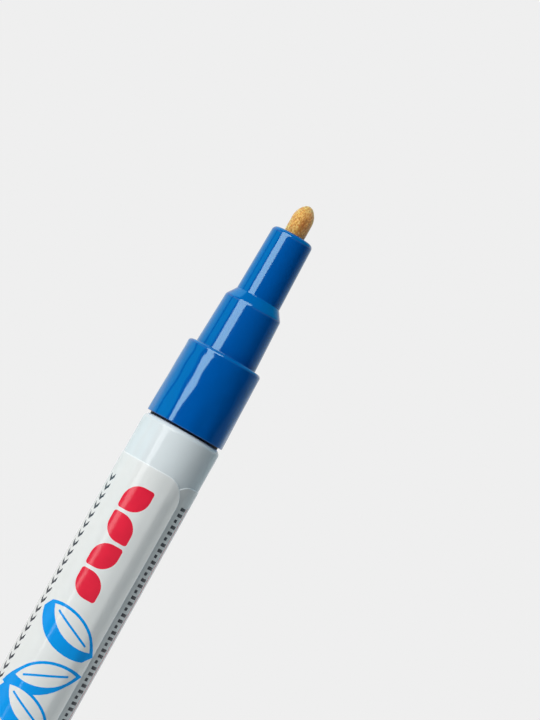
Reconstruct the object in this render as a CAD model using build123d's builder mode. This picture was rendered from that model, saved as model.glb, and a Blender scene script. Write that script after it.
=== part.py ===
from build123d import *
import math
import os

# Valve-fed paint marker standing on its tail.
# The axis is Z, the tail face lies on z = 0 and the nib points up.
# The side with the label's seam to the right of the middle faces -Y.
# Lengths are in millimetres, angles in degrees.

# Clearances and cuts
SEAT_CLEARANCE = 0.05  # radial room between pieces pushed together
RUNNING_CLEARANCE = 0.05  # radial room around a piece that slides
STOP_CLEARANCE = 0.05  # axial room where a loose piece meets its stop
CUT_OVERRUN = 1.0  # how far a cut reaches past the surface that it opens
EDGE_LIMIT_SHARE = 0.9  # the most of a step's width that the rounding of its edge may take

# Barrel: a drawn can with a rounded shoulder and a beaded neck
BARREL_DIAMETER = 14.8
BARREL_LENGTH = 91.3  # tail face to the top of the shoulder
BARREL_WALL = 0.5
BASE_THICKNESS = 1.0
SHOULDER_RADIUS = 1.1
TAIL_RADIUS = 1.0
TAIL_RECESS_DIAMETER = 8.6
TAIL_RECESS_DEPTH = 0.4
SHOULDER_WIDTH = 1.35  # radial step from the barrel's side in to the neck
NECK_HEIGHT = 8.5
BEAD_HEIGHT = 0.3  # how far the bead stands out of the neck
BEAD_WIDTH = 1.2
BEAD_RISE = 4.0  # shoulder to the middle of the bead

# Neck gasket: the ring between the shoulder and the collar
NECK_GASKET_WIDTH = 0.5
NECK_GASKET_THICKNESS = 0.35

# Label: film wrapped round the barrel, its end laid over its start
LABEL_THICKNESS = 0.06
LABEL_HEIGHT = 76.0
LABEL_TOP_GAP = 8.2  # top of the shoulder to the label's upper edge
LABEL_CORNER_RADIUS = 4.2
LABEL_OVERLAP = 2.6
LABEL_SEAM_ANGLE = 38.0  # middle of the overlap, turned about Z from the -Y side

# Front holder: collar, body and nozzle, each tapered a little towards the tip
COLLAR_LENGTH = 14.45
COLLAR_SETBACK = 0.075  # radial step from the barrel's side to the collar's foot
COLLAR_TAPER = 0.275  # how much the collar's radius shrinks towards the tip
COLLAR_BASE_EDGE = 0.12
COLLAR_TOP_EDGE = 0.6
BODY_LENGTH = 9.75
BODY_BASE_DIAMETER = 11.55
BODY_TOP_DIAMETER = 10.75
SLOPE_LENGTH = 1.75  # cone between the body and the nozzle
SLOPE_EDGE = 0.7
NOZZLE_LENGTH = 12.65
NOZZLE_BASE_DIAMETER = 8.35
NOZZLE_TOP_DIAMETER = 7.75
NOZZLE_EDGE = 0.85
NOZZLE_BORE_DIAMETER = 5.4
MOUTH_LENGTH = 1.5  # close-fitting rim round the nib
CHAMBER_DIAMETER = 8.4
CHAMBER_ROOF = 1.0  # solid left between the chamber and the start of the cone

# Ribs that guide the nib, in the nozzle and in the housing's tower
RIB_COUNT = 6
RIB_WIDTH = 0.7
RIB_ROOT = 0.3  # how deep a rib reaches into its wall

# Nib: a round fibre rod with a bullet nose
NIB_DIAMETER = 3.9
NIB_LENGTH = 26.0
NIB_EXPOSED = 5.75  # from the nozzle's face to the tip
NIB_FLANK_RADIUS = 3.5
NIB_TIP_RADIUS = 1.25
NIB_REAR_CHAMFER = 0.3
NIB_TRAVEL = 1.5  # the rod's end comes level with the retainer's underside there

# Valve housing: flange on the neck, spigot and sleeve below it, tower above it
FLANGE_GASKET_THICKNESS = 0.6
FLANGE_THICKNESS = 1.2
SPIGOT_LENGTH = 2.5  # plug that centres the housing in the neck
SLEEVE_LENGTH = 12.0
SLEEVE_WALL = 1.1
VALVE_BORE_DIAMETER = 5.8
SEAT_WALL_THICKNESS = 2.2
PORT_DIAMETER = 3.0
TOWER_WALL = 1.1
TOWER_HEADROOM = 0.3  # gap between the tower and the chamber's roof
TOWER_RIB_LIFT = 1.0  # ribs start this far above the flange

# Valve seat, rod, spring and retainer
SEAT_RING_THICKNESS = 0.8
ROD_DIAMETER = 1.8
HEAD_GAP = 0.5  # paint's way round the head
HEAD_THICKNESS = 1.6
CONE_GAP = 0.15  # paint's way round the cone's foot
CONE_HEIGHT = 0.8
PUSHER_INSET = 0.55  # the disc that meets the nib is this much smaller in radius
PUSHER_THICKNESS = 1.0
SPRING_DIAMETER = 3.2  # to the middle of the wire
SPRING_WIRE = 0.35
SPRING_TURNS = 6
RETAINER_RIM_THICKNESS = 1.0
RETAINER_PLUG_LENGTH = 1.4
INLET_COUNT = 6
INLET_DIAMETER = 1.0
INLET_EDGE = 0.3  # plastic left between an inlet and the plug's side

# Mixing ball
BALL_DIAMETER = 7.0

# Radii that several pieces share
barrel_radius = BARREL_DIAMETER / 2
barrel_bore_radius = barrel_radius - BARREL_WALL
neck_radius = barrel_radius - SHOULDER_WIDTH
neck_bore_radius = neck_radius - BARREL_WALL
skirt_bore_radius = neck_radius + SEAT_CLEARANCE
chamber_radius = CHAMBER_DIAMETER / 2
nib_radius = NIB_DIAMETER / 2
nib_guide_radius = nib_radius + RUNNING_CLEARANCE
valve_bore_radius = VALVE_BORE_DIAMETER / 2
sleeve_radius = valve_bore_radius + SLEEVE_WALL
valve_fit_radius = valve_bore_radius - SEAT_CLEARANCE
port_radius = PORT_DIAMETER / 2
rod_radius = ROD_DIAMETER / 2

# Heights that several pieces share, from the tail up
shoulder_z = BARREL_LENGTH
collar_base_z = shoulder_z + NECK_GASKET_THICKNESS
bead_z = shoulder_z + BEAD_RISE
neck_top_z = shoulder_z + NECK_HEIGHT
flange_base_z = neck_top_z + FLANGE_GASKET_THICKNESS
flange_top_z = flange_base_z + FLANGE_THICKNESS
collar_top_z = collar_base_z + COLLAR_LENGTH
body_top_z = collar_top_z + BODY_LENGTH
chamber_top_z = body_top_z - CHAMBER_ROOF
nozzle_base_z = body_top_z + SLOPE_LENGTH
nozzle_top_z = nozzle_base_z + NOZZLE_LENGTH
nib_tip_z = nozzle_top_z + NIB_EXPOSED
nib_rear_z = nib_tip_z - NIB_LENGTH
sleeve_base_z = flange_base_z - SLEEVE_LENGTH
seat_wall_z = flange_top_z - SEAT_WALL_THICKNESS
seat_z = seat_wall_z - SEAT_RING_THICKNESS
head_base_z = seat_z - HEAD_THICKNESS
retainer_base_z = sleeve_base_z - RETAINER_RIM_THICKNESS
retainer_top_z = sleeve_base_z + RETAINER_PLUG_LENGTH

os.makedirs("parts", exist_ok=True)


def bead_outline(wall_radius):
    """Corners of the neck's bead, or of the groove that takes it, on a wall of this radius."""
    crest_radius = wall_radius + BEAD_HEIGHT
    low_z = bead_z - BEAD_WIDTH / 2
    high_z = bead_z + BEAD_WIDTH / 2
    return [
        (wall_radius, low_z),
        (crest_radius, low_z + BEAD_HEIGHT),
        (crest_radius, high_z - BEAD_HEIGHT),
        (wall_radius, high_z),
    ]


# Barrel
recess_radius = TAIL_RECESS_DIAMETER / 2
barrel_corners = [
    ((0, TAIL_RECESS_DEPTH), 0),
    ((recess_radius, TAIL_RECESS_DEPTH), 0),
    ((recess_radius + TAIL_RECESS_DEPTH, 0), 0),
    ((barrel_radius, 0), TAIL_RADIUS),
    ((barrel_radius, shoulder_z), min(SHOULDER_RADIUS, EDGE_LIMIT_SHARE * SHOULDER_WIDTH)),
    ((neck_radius, shoulder_z), 0),
    *[(corner, 0) for corner in bead_outline(neck_radius)],
    ((neck_radius, neck_top_z), 0),
    ((neck_bore_radius, neck_top_z), 0),
    ((neck_bore_radius, shoulder_z - BARREL_WALL), 0),
    ((barrel_bore_radius, shoulder_z - BARREL_WALL), SHOULDER_RADIUS - BARREL_WALL),
    ((barrel_bore_radius, BASE_THICKNESS), TAIL_RADIUS - BARREL_WALL),
    ((0, BASE_THICKNESS), 0),
]
with BuildPart() as barrel:
    with BuildSketch(Plane.XZ):
        with BuildLine():
            FilletPolyline(
                [corner for corner, _ in barrel_corners],
                radius=[rounding for _, rounding in barrel_corners],
                close=True,
            )
        make_face()
    revolve(axis=Axis.Z)
barrel.part.label = "barrel"
export_step(barrel.part, "parts/barrel.step")

# Neck gasket
with BuildPart() as neck_gasket:
    with BuildSketch(Plane.XY.offset(shoulder_z)):
        Circle(skirt_bore_radius + NECK_GASKET_WIDTH)
        Circle(skirt_bore_radius, mode=Mode.SUBTRACT)
    extrude(amount=NECK_GASKET_THICKNESS)
neck_gasket.part.label = "neck_gasket"
export_step(neck_gasket.part, "parts/neck_gasket.step")

# Label: a closed ring of film, and over its seam the strip where the end lies on the start
film_radius = barrel_radius + LABEL_THICKNESS
overlap_radius = film_radius + LABEL_THICKNESS
label_base_z = shoulder_z - LABEL_TOP_GAP - LABEL_HEIGHT
label_plane = Plane.XY.offset(label_base_z)
sheet_end_width = LABEL_OVERLAP + 2 * LABEL_CORNER_RADIUS
seam_plane = Plane(
    origin=(0, 0, label_base_z + LABEL_HEIGHT / 2),
    x_dir=Vector(1, 0, 0).rotate(Axis.Z, LABEL_SEAM_ANGLE),
    z_dir=Vector(0, -1, 0).rotate(Axis.Z, LABEL_SEAM_ANGLE),
)
with BuildSketch(seam_plane) as upper_sheet_end:
    with Locations(((LABEL_OVERLAP - sheet_end_width) / 2, 0)):
        RectangleRounded(sheet_end_width, LABEL_HEIGHT, LABEL_CORNER_RADIUS)
    with Locations((-sheet_end_width / 2, 0)):
        Rectangle(sheet_end_width - LABEL_OVERLAP, LABEL_HEIGHT, mode=Mode.SUBTRACT)
with BuildPart() as label_overlap:
    with BuildSketch(label_plane):
        Circle(overlap_radius)
        Circle(film_radius, mode=Mode.SUBTRACT)
    extrude(amount=LABEL_HEIGHT)
    extrude(upper_sheet_end.sketch, amount=overlap_radius + CUT_OVERRUN, mode=Mode.INTERSECT)
with BuildPart() as barrel_label:
    with BuildSketch(label_plane):
        Circle(film_radius)
        Circle(barrel_radius, mode=Mode.SUBTRACT)
    extrude(amount=LABEL_HEIGHT)
    with BuildSketch(seam_plane):
        Rectangle(sheet_end_width, LABEL_HEIGHT)
        for side in (-1, 1):
            with Locations((side * (sheet_end_width - LABEL_OVERLAP) / 2, 0)):
                RectangleRounded(sheet_end_width, LABEL_HEIGHT, LABEL_CORNER_RADIUS, mode=Mode.SUBTRACT)
    extrude(amount=film_radius + CUT_OVERRUN, mode=Mode.SUBTRACT)
    add(label_overlap.part)
barrel_label.part.label = "barrel_label"
export_step(barrel_label.part, "parts/barrel_label.step")

# Front holder
mouth_z = nozzle_top_z - MOUTH_LENGTH
nozzle_bore_radius = NOZZLE_BORE_DIAMETER / 2
collar_base_radius = barrel_radius - COLLAR_SETBACK
collar_top_radius = collar_base_radius - COLLAR_TAPER
body_base_radius = BODY_BASE_DIAMETER / 2
collar_step = collar_top_radius - body_base_radius
holder_corners = [
    ((collar_base_radius, collar_base_z), COLLAR_BASE_EDGE),
    ((collar_top_radius, collar_top_z), min(COLLAR_TOP_EDGE, EDGE_LIMIT_SHARE * collar_step)),
    ((body_base_radius, collar_top_z), 0),
    ((BODY_TOP_DIAMETER / 2, body_top_z), SLOPE_EDGE),
    ((NOZZLE_BASE_DIAMETER / 2, nozzle_base_z), 0),
    ((NOZZLE_TOP_DIAMETER / 2, nozzle_top_z), NOZZLE_EDGE),
    ((nib_guide_radius, nozzle_top_z), 0),
    ((nib_guide_radius, mouth_z), 0),
    ((nozzle_bore_radius, mouth_z), 0),
    ((nozzle_bore_radius, chamber_top_z), 0),
    ((chamber_radius, chamber_top_z), 0),
    ((chamber_radius, flange_top_z), 0),
    ((skirt_bore_radius, flange_top_z), 0),
    *[(corner, 0) for corner in reversed(bead_outline(skirt_bore_radius))],
    ((skirt_bore_radius, collar_base_z), 0),
]
nozzle_rib_length = nozzle_bore_radius + RIB_ROOT
with BuildPart() as front_holder:
    with BuildSketch(Plane.XZ):
        with BuildLine():
            FilletPolyline(
                [corner for corner, _ in holder_corners],
                radius=[rounding for _, rounding in holder_corners],
                close=True,
            )
        make_face()
    revolve(axis=Axis.Z)
    with BuildSketch(Plane.XY.offset(chamber_top_z)):
        with PolarLocations(nozzle_rib_length / 2, RIB_COUNT):
            Rectangle(nozzle_rib_length, RIB_WIDTH)
        Circle(nib_guide_radius, mode=Mode.SUBTRACT)
    extrude(amount=mouth_z - chamber_top_z)
front_holder.part.label = "front_holder"
export_step(front_holder.part, "parts/front_holder.step")

# Nib: the flank's arc runs smoothly into the tip's arc, whose centre is on the axis
flank_centre_offset = NIB_FLANK_RADIUS - nib_radius
tip_centre_rise = math.sqrt((NIB_FLANK_RADIUS - NIB_TIP_RADIUS) ** 2 - flank_centre_offset**2)
flank_angle = math.degrees(math.atan2(tip_centre_rise, flank_centre_offset))
nose_base_z = nib_tip_z - NIB_TIP_RADIUS - tip_centre_rise
with BuildPart() as nib:
    with BuildSketch(Plane.XZ):
        with BuildLine():
            side = Polyline(
                (0, nib_rear_z),
                (nib_radius - NIB_REAR_CHAMFER, nib_rear_z),
                (nib_radius, nib_rear_z + NIB_REAR_CHAMFER),
                (nib_radius, nose_base_z),
            )
            flank = JernArc(side @ 1, side % 1, NIB_FLANK_RADIUS, flank_angle)
            tip = JernArc(flank @ 1, flank % 1, NIB_TIP_RADIUS, 90 - flank_angle)
            Line(tip @ 1, side @ 0)
        make_face()
    revolve(axis=Axis.Z)
nib.part.label = "nib"
export_step(nib.part, "parts/nib.step")

# Valve housing
tower_radius = chamber_radius - SEAT_CLEARANCE
tower_bore_radius = tower_radius - TOWER_WALL
tower_top_z = chamber_top_z - TOWER_HEADROOM
tower_rib_z = flange_top_z + TOWER_RIB_LIFT
tower_rib_length = tower_bore_radius + RIB_ROOT
spigot_radius = neck_bore_radius - SEAT_CLEARANCE
spigot_z = flange_base_z - SPIGOT_LENGTH
with BuildPart() as valve_housing:
    with BuildSketch(Plane.XZ):
        with BuildLine():
            Polyline(
                (valve_bore_radius, sleeve_base_z),
                (sleeve_radius, sleeve_base_z),
                (sleeve_radius, spigot_z),
                (spigot_radius, spigot_z),
                (spigot_radius, flange_base_z),
                (neck_radius, flange_base_z),
                (neck_radius, flange_top_z),
                (tower_radius, flange_top_z),
                (tower_radius, tower_top_z),
                (tower_bore_radius, tower_top_z),
                (tower_bore_radius, flange_top_z),
                (port_radius, flange_top_z),
                (port_radius, seat_wall_z),
                (valve_bore_radius, seat_wall_z),
                close=True,
            )
        make_face()
    revolve(axis=Axis.Z)
    with BuildSketch(Plane.XY.offset(tower_rib_z)):
        with PolarLocations(tower_rib_length / 2, RIB_COUNT):
            Rectangle(tower_rib_length, RIB_WIDTH)
        Circle(nib_guide_radius, mode=Mode.SUBTRACT)
    extrude(amount=tower_top_z - tower_rib_z)
valve_housing.part.label = "valve_housing"
export_step(valve_housing.part, "parts/valve_housing.step")

# Flange gasket
with BuildPart() as flange_gasket:
    with BuildSketch(Plane.XY.offset(neck_top_z)):
        Circle(neck_radius)
        Circle(neck_bore_radius, mode=Mode.SUBTRACT)
    extrude(amount=FLANGE_GASKET_THICKNESS)
flange_gasket.part.label = "flange_gasket"
export_step(flange_gasket.part, "parts/flange_gasket.step")

# Valve seat ring
with BuildPart() as valve_seat_ring:
    with BuildSketch(Plane.XY.offset(seat_z)):
        Circle(valve_fit_radius)
        Circle(port_radius, mode=Mode.SUBTRACT)
    extrude(amount=SEAT_RING_THICKNESS)
valve_seat_ring.part.label = "valve_seat_ring"
export_step(valve_seat_ring.part, "parts/valve_seat_ring.step")

# Valve rod: guide pin, poppet head, cone, stem and the disc that meets the nib
head_radius = valve_bore_radius - HEAD_GAP
pusher_radius = nib_radius - PUSHER_INSET
rod_end_z = retainer_base_z + NIB_TRAVEL
with BuildPart() as valve_rod:
    with BuildSketch(Plane.XZ):
        with BuildLine():
            Polyline(
                (0, rod_end_z),
                (rod_radius, rod_end_z),
                (rod_radius, head_base_z),
                (head_radius, head_base_z),
                (head_radius, seat_z),
                (port_radius - CONE_GAP, seat_z),
                (rod_radius, seat_z + CONE_HEIGHT),
                (rod_radius, nib_rear_z - PUSHER_THICKNESS),
                (pusher_radius, nib_rear_z - PUSHER_THICKNESS),
                (pusher_radius, nib_rear_z),
                (0, nib_rear_z),
                close=True,
            )
        make_face()
    revolve(axis=Axis.Z)
valve_rod.part.label = "valve_rod"
export_step(valve_rod.part, "parts/valve_rod.step")

# Valve spring: one wire wound between the retainer and the rod's head
wire_radius = SPRING_WIRE / 2
coil_base_z = retainer_top_z + STOP_CLEARANCE + wire_radius
coil_height = head_base_z - STOP_CLEARANCE - wire_radius - coil_base_z
with BuildPart() as valve_spring:
    with BuildLine(Plane.XY.offset(coil_base_z)) as coil:
        Helix(pitch=coil_height / SPRING_TURNS, height=coil_height, radius=SPRING_DIAMETER / 2)
    with BuildSketch(Plane(origin=coil.line @ 0, z_dir=coil.line % 0)):
        Circle(wire_radius)
    sweep()
valve_spring.part.label = "valve_spring"
export_step(valve_spring.part, "parts/valve_spring.step")

# Spring retainer
inlet_radius = INLET_DIAMETER / 2
with BuildPart() as spring_retainer:
    with BuildSketch(Plane.XY.offset(retainer_base_z)):
        Circle(sleeve_radius)
    extrude(amount=RETAINER_RIM_THICKNESS)
    with BuildSketch(Plane.XY.offset(sleeve_base_z)):
        Circle(valve_fit_radius)
    extrude(amount=RETAINER_PLUG_LENGTH)
    with BuildSketch(Plane.XY.offset(retainer_base_z)):
        Circle(rod_radius + RUNNING_CLEARANCE)
        with PolarLocations(valve_fit_radius - INLET_EDGE - inlet_radius, INLET_COUNT):
            Circle(inlet_radius)
    extrude(amount=RETAINER_RIM_THICKNESS + RETAINER_PLUG_LENGTH, mode=Mode.SUBTRACT)
spring_retainer.part.label = "spring_retainer"
export_step(spring_retainer.part, "parts/spring_retainer.step")

# Mixing ball, at rest on the barrel's floor
ball_radius = BALL_DIAMETER / 2
with BuildPart() as mixing_ball:
    with Locations((0, 0, BASE_THICKNESS + STOP_CLEARANCE + ball_radius)):
        Sphere(ball_radius)
mixing_ball.part.label = "mixing_ball"
export_step(mixing_ball.part, "parts/mixing_ball.step")

ball_travel = retainer_base_z - STOP_CLEARANCE - (BASE_THICKNESS + STOP_CLEARANCE + BALL_DIAMETER)
print("overall length", round(nib_tip_z, 3))
print("label from", round(label_base_z, 3), "to", round(label_base_z + LABEL_HEIGHT, 3))
print("nib travel", NIB_TRAVEL, "ball travel", round(ball_travel, 3))
print("spring sits on", round(retainer_top_z, 3))
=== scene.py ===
import math

import bpy
import numpy as np
from mathutils import Matrix, Vector, noise
from mathutils.geometry import convex_hull_2d, delaunay_2d_cdt


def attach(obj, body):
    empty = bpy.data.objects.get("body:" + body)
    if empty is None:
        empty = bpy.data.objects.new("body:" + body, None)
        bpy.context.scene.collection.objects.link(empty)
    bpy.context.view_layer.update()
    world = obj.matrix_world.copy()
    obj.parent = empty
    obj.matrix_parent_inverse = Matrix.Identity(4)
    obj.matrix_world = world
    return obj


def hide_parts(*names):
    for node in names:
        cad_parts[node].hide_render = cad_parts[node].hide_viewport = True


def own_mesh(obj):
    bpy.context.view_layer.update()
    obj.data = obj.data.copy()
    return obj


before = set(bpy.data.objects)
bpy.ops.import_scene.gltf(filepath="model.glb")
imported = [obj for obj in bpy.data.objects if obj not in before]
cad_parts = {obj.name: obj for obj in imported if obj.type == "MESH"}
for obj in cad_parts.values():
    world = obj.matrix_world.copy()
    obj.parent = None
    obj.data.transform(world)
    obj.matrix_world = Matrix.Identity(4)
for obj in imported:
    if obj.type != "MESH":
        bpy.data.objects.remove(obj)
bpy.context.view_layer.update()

# Lengths are in millimetres and are scaled when a mesh or lamp is made; angles are in degrees.
# The marker stands on its tail, its axis is Z, and the camera looks along +Y.
MM = 0.001

# How finely pieces are turned and rounded
TURN_STEPS = 256
ARC_STEP = 7.5
RING_SPACING = 3.0
FRONT_RING_SPACING = 0.2
SHARP_ANGLE = 32.0
ON_AXIS = 1e-6

# Barrel, as in the solids
BARREL_RADIUS = 7.4
BARREL_WALL = 0.5
SHOULDER_Z = 91.3
SHOULDER_ROUNDING = 1.1
TAIL_ROUNDING = 1.0
TAIL_RECESS_RADIUS = 4.3
TAIL_RECESS_DEPTH = 0.4
TAIL_RECESS_ROUNDING = 0.2
BASE_THICKNESS = 1.0
NECK_RADIUS = 6.05
NECK_TOP_Z = 99.8
BEAD_HEIGHT = 0.3
BEAD_LOW_Z = 94.7
BEAD_HIGH_Z = 95.9

# Front holder, as in the solids, with the small roundings of a moulding
COLLAR_BASE_Z = 91.65
COLLAR_BASE_RADIUS = 7.325
COLLAR_BASE_ROUNDING = 0.12
COLLAR_TOP_Z = 106.1
COLLAR_TOP_RADIUS = 7.05
COLLAR_TOP_ROUNDING = 0.6
BODY_BASE_RADIUS = 5.775
BODY_TOP_Z = 115.85
BODY_TOP_RADIUS = 5.375
SLOPE_ROUNDING = 0.95
NOZZLE_BASE_Z = 117.6
NOZZLE_BASE_RADIUS = 4.175
NOZZLE_TOP_Z = 130.25
NOZZLE_TOP_RADIUS = 3.875
NOZZLE_ROUNDING = 0.85
NIB_HOLE_RADIUS = 2.0
NIB_HOLE_ROUNDING = 0.12
MOUTH_Z = 128.75
NOZZLE_BORE_RADIUS = 2.7
CHAMBER_TOP_Z = 114.85
CHAMBER_RADIUS = 4.2
FLANGE_TOP_Z = 101.6
SKIRT_BORE_RADIUS = 6.1
INNER_CORNER_ROUNDING = 0.12
STEP_FACE_RISE = 0.99

# Sink marks over the twelve ribs inside: (height, reach along the axis, depth)
SINK_COUNT = 12
SINK_ANGLE = -25.5
SINKS = (
    (105.5, 0.6, -0.022),
    (104.4, 0.9, 0.014),
    (101.4, 1.2, -0.013),
    (98.6, 1.3, 0.01),
    (93.4, 3.4, -0.042),
    (127.6, 0.9, -0.004),
    (120.0, 1.3, 0.003),
)

# Nib
NIB_RADIUS = 1.95
NIB_REAR_Z = 110.0
NIB_TIP_Z = 136.0
NIB_REAR_CHAMFER = 0.3
NIB_FLANK_RADIUS = 3.5
NIB_TIP_RADIUS = 1.25
NIB_SPACING = 0.06
NIB_TURN_STEPS = 200
NIB_SCATTER = (4.6, 3.4, 2.8)

# The nib's pits and fibres, as noise: (waves per millimetre across, waves per millimetre along, shift)
PIT_WAVES = ((4.2, 2.6, 0.0), (8.0, 4.0, 9.0))
# The pits and fibres draw the nib in by their depths, and their tones paint shade darker into those
# hollows
PIT_DEPTH = 0.05
PIT_SHADE = 2.2
FIBRE_WAVES = (10.0, 1.4, 31.0)
FIBRE_DEPTH = 0.04
FIBRE_SHADE = 0.6
TONE_OFFSET = -0.1
TIP_LEAN = 0.6

# The nib's brown patch of old ink
STAIN_POINT = (0.5, -1.85, 132.2)
STAIN_SIZE = (0.7, 1.4, 3.2)
STAIN_STRENGTH = 2.3
STAIN_COLOUR = (0.42, 0.16, 0.025, 1.0)
STAIN_PATCHES = (0.1, 0.9)

# Valve spring, as in the solids: it stands on the retainer and shortens by the valve's travel
SPRING_LOW_Z = 90.026
SPRING_HIGH_Z = 96.774
SPRING_RADIUS = 1.6
SPRING_WIRE_RADIUS = 0.175
SPRING_TURNS = 6
SPRING_TURN_STEPS = 48
SPRING_WIRE_STEPS = 12

# Label film: it starts at the seam, runs round to the right and ends on top of its start
FILM_THICKNESS = 0.1
FILM_LIFT = 0.003
FILM_LOW_Z = 7.1
FILM_HIGH_Z = 83.35
FILM_CORNER_ROUNDING = 4.2
FILM_OVERLAP = 2.6
FILM_SEAM_ANGLE = 35.5
FILM_RAMP = 1.5
FILM_EDGE_WIDTH = 0.12
FILM_EDGE_SHARE = 0.1
# Width of a lighter band round the film's edge, a painted highlight where the cut edge catches light
FILM_EDGE_HIGHLIGHT_WIDTH = 0.2
FILM_GRID = (0.32, 0.7)
FILM_OUTLINE_STEP = 0.25
FILM_WELD = 1e-5
FILM_SLOPE_STEP = 0.01

# The film's unevenness: its depth, its turn per millimetre of run and of height, and its swell with height
RIPPLE_DEPTH = 0.004
RIPPLE_TURN = (0.9, 0.21)
RIPPLE_SWELL = (0.34, 1.3)

# The film's end curls up a little, and behind the seam it bulges
CURL_WIDTH = 1.4
CURL_HEIGHT = 0.28
BULGE_WIDTH = 2.2
BULGE_HEIGHT = 0.11
BULGE_TAIL = 7.0
SEAM_FLAT_END = 2.6
SEAM_FADE = 2.4

# Camera: the picture's long side is the sensor's width
SENSOR_WIDTH = 36.0
LENS = 173.4
CAMERA_POINT = (6.98, -600.0, 83.0)
AIM_POINT = (6.98, 0.0, 109.4)
CAMERA_LEAN = 29.37
CAMERA_CLIP = (10.0, 10000.0)

# Stage and light
BACKGROUND_COLOUR = (0.863, 0.863, 0.863, 1.0)
FLOOR_RADIUS = 300.0
FLOOR_SHADOW_RADIUS = 70.0
FLOOR_FADE_RADIUS = 255.0
FLOOR_HOLE_RADIUS = 6.2
FLOOR_STEPS = 96
FLOOR_COLOUR = (0.8, 0.8, 0.8, 1.0)
FLOOR_GLOW = (0.28, 0.25, 0.23, 1.0)

# Softbox round the marker's front: (elevation, azimuth of its left edge, azimuth of its right edge)
KEY_LEVEL = 4.9
KEY_COLOUR = (1.0, 1.0, 1.0, 1.0)
KEY_CENTRE_Z = 110.0
KEY_DISTANCE = 600.0
KEY_COLUMNS = 12
KEY_ROWS = (
    (-17.6, -49.0, -46.0),
    (-9.2, -49.2, -45.0),
    (-6.8, -49.8, -41.8),
    (-4.5, -51.0, -38.5),
    (-2.8, -51.8, -35.4),
    (0.0, -51.8, -35.2),
    (8.5, -60.0, -27.0),
    (14.0, -61.0, -18.0),
    (22.0, -62.0, -10.0),
    (34.0, -63.0, -8.0),
    (45.0, -63.0, -8.0),
)

# Room round the marker, as (azimuth, colour): ROOM_LIGHT lights it, and the others are only mirrored.
# CARD_GLOSS is the band of cards level with it, CEILING_GLOSS is overhead, and ROOM_GLOSS is the rest.
ROOM_LIGHT = (
    (-180, (0.9, 0.9, 0.9)),
    (-140, (0.9, 0.84, 0.81)),
    (-100, (0.37, 0.29, 0.26)),
    (-66, (0.22, 0.17, 0.15)),
    (-58, (0.0, 0.012, 0.02)),
    (112, (0.0, 0.012, 0.02)),
    (128, (1.62, 1.93, 2.12)),
    (150, (1.72, 1.9, 2.02)),
    (165, (0.9, 0.9, 0.9)),
    (180, (0.9, 0.9, 0.9)),
)
CARD_GLOSS = (
    (-180, (0.86, 0.86, 0.86)),
    (-136, (0.63, 0.96, 1.02)),
    (-117, (0.32, 1.05, 1.25)),
    (-102, (0.17, 1.05, 1.25)),
    (-99, (0.01, 0.05, 0.05)),
    (-95, (0.02, 0.1, 0.1)),
    (-92, (0.05, 0.95, 1.15)),
    (-68, (0.05, 1.0, 1.25)),
    (-65, (0.0, 0.0, 0.0)),
    (88, (0.0, 0.0, 0.0)),
    (128, (0.34, 0.44, 0.46)),
    (180, (0.86, 0.86, 0.86)),
)
ROOM_GLOSS = (
    (-180, (0.86, 0.86, 0.86)),
    (-102, (0.8, 0.8, 0.8)),
    (-99, (0.15, 0.15, 0.15)),
    (-95, (0.15, 0.15, 0.15)),
    (-92, (0.75, 0.75, 0.75)),
    (-68, (0.75, 0.75, 0.75)),
    (-64, (0.25, 0.25, 0.25)),
    (88, (0.25, 0.25, 0.25)),
    (132, (0.7, 0.7, 0.7)),
    (180, (0.86, 0.86, 0.86)),
)
CEILING_COLOUR = (0.18, 0.25, 0.3, 1.0)
CEILING_GLOSS = (
    (-180, (0.6, 0.7, 0.75)),
    (-150, (0.65, 1.15, 1.35)),
    (-100, (0.38, 1.6, 2.2)),
    (-94, (0.01, 0.6, 0.95)),
    (120, (0.01, 0.6, 0.95)),
    (180, (0.6, 0.7, 0.75)),
)

# Where they meet, as the sine of the elevation: the cards' middle, how far from it they fade out, and from
# where to where the ceiling fades in
CARD_MIDDLE = 0.072
CARD_FADE = (0.078, 0.092)
CEILING_LIGHT_FADE = (0.55, 0.85)
CEILING_GLOSS_FADE = (0.28, 0.5)

# Noise mostly lies between these, and a surface's gloss is this much finer than its colour
NOISE_LOW = 0.3
NOISE_HIGH = 0.7
GLOSS_FINENESS = 3

# Sockets of a Mix node that mixes colours
MIX_FACTOR, MIX_FIRST, MIX_SECOND, MIX_RESULT = 0, 6, 7, 2


def unit(azimuth, elevation):
    """Direction from the marker, turned about Z from the camera's side."""
    turn, rise = math.radians(azimuth), math.radians(elevation)
    return Vector((math.sin(turn) * math.cos(rise), -math.cos(turn) * math.cos(rise), math.sin(rise)))


def rounded(corners):
    """Points of an outline; each corner is (x, y, rounding)."""
    points = []
    for index, (x, y, rounding) in enumerate(corners):
        here = Vector((x, y))
        if not rounding:
            points.append(here)
            continue
        before = (Vector(corners[index - 1][:2]) - here).normalized()
        after = (Vector(corners[(index + 1) % len(corners)][:2]) - here).normalized()
        half = before.angle(after) / 2
        centre = here + (before + after).normalized() * (rounding / math.sin(half))
        start = here + before * (rounding / math.tan(half)) - centre
        side = math.copysign(1, before.cross(after))
        sweep = math.pi - 2 * half
        steps = max(2, math.ceil(math.degrees(sweep) / ARC_STEP))
        for step in range(steps + 1):
            turn = -side * sweep * step / steps
            points.append(centre + Matrix.Rotation(turn, 2) @ start)
    return points


def spaced(points, step, closed):
    """The outline's points with more between them, so that no run is longer than the step."""
    ends = points[1:] + points[:1] if closed else points[1:]
    dense = []
    for start, end in zip(points, ends):
        count = max(1, math.ceil((end - start).length / step))
        dense += [start.lerp(end, part / count) for part in range(count)]
    return dense if closed else dense + [points[-1]]


def mesh_object(name, vertices, faces):
    """A mesh object in the scene from vertices in millimetres."""
    mesh = bpy.data.meshes.new(name)
    mesh.from_pydata((np.asarray(vertices) * MM).tolist(), [], faces)
    item = bpy.data.objects.new(name, mesh)
    bpy.context.scene.collection.objects.link(item)
    return item


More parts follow.
